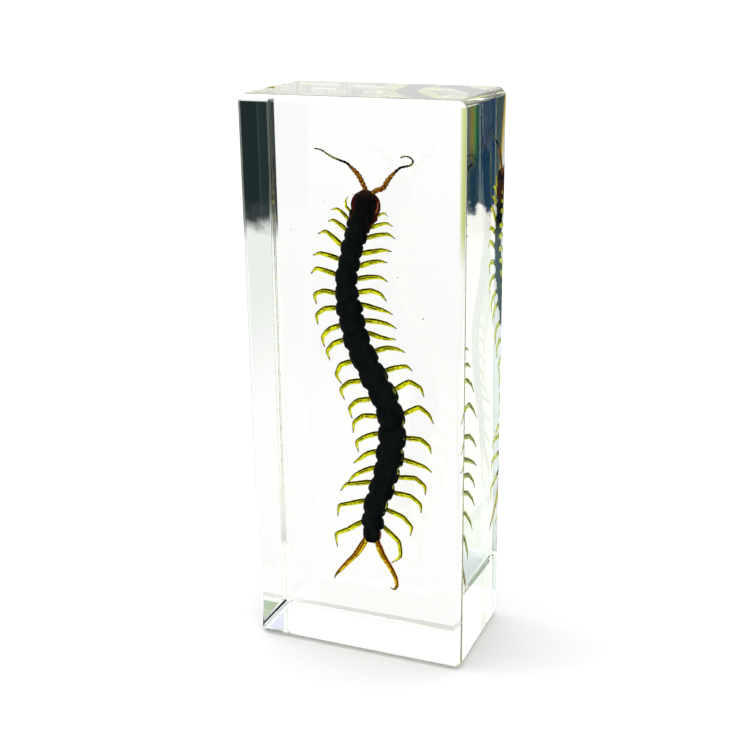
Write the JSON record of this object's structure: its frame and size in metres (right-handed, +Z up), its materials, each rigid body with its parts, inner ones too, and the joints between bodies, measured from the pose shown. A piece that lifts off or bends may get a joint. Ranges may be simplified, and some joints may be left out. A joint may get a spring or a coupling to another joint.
{
  "type": "centipede in resin block",
  "caption": "Upright rectangular block of clear polished resin with a whole centipede cast inside it, its back to the front face.",
  "frame": {"origin": "middle of the block's base, on the surface that it stands on", "axes": "+Z up along the block's height, towards the centipede's head; +Y through the block's thickness, away from the face that the centipede's back looks at; +X across the width, to the right seen from the front"},
  "size_m": [0.044, 0.0254, 0.11],
  "materials": {
    "clear_resin": "polished clear casting resin with a faint yellow-green cast",
    "dark_shell": "glossy near-black shell, with a dark red head and translucent yellow-green legs"
  },
  "bodies": {
    "root": {"resin_front": "clear_resin", "resin_back": "clear_resin", "centipede": "dark_shell"}
  },
  "joints": []
}
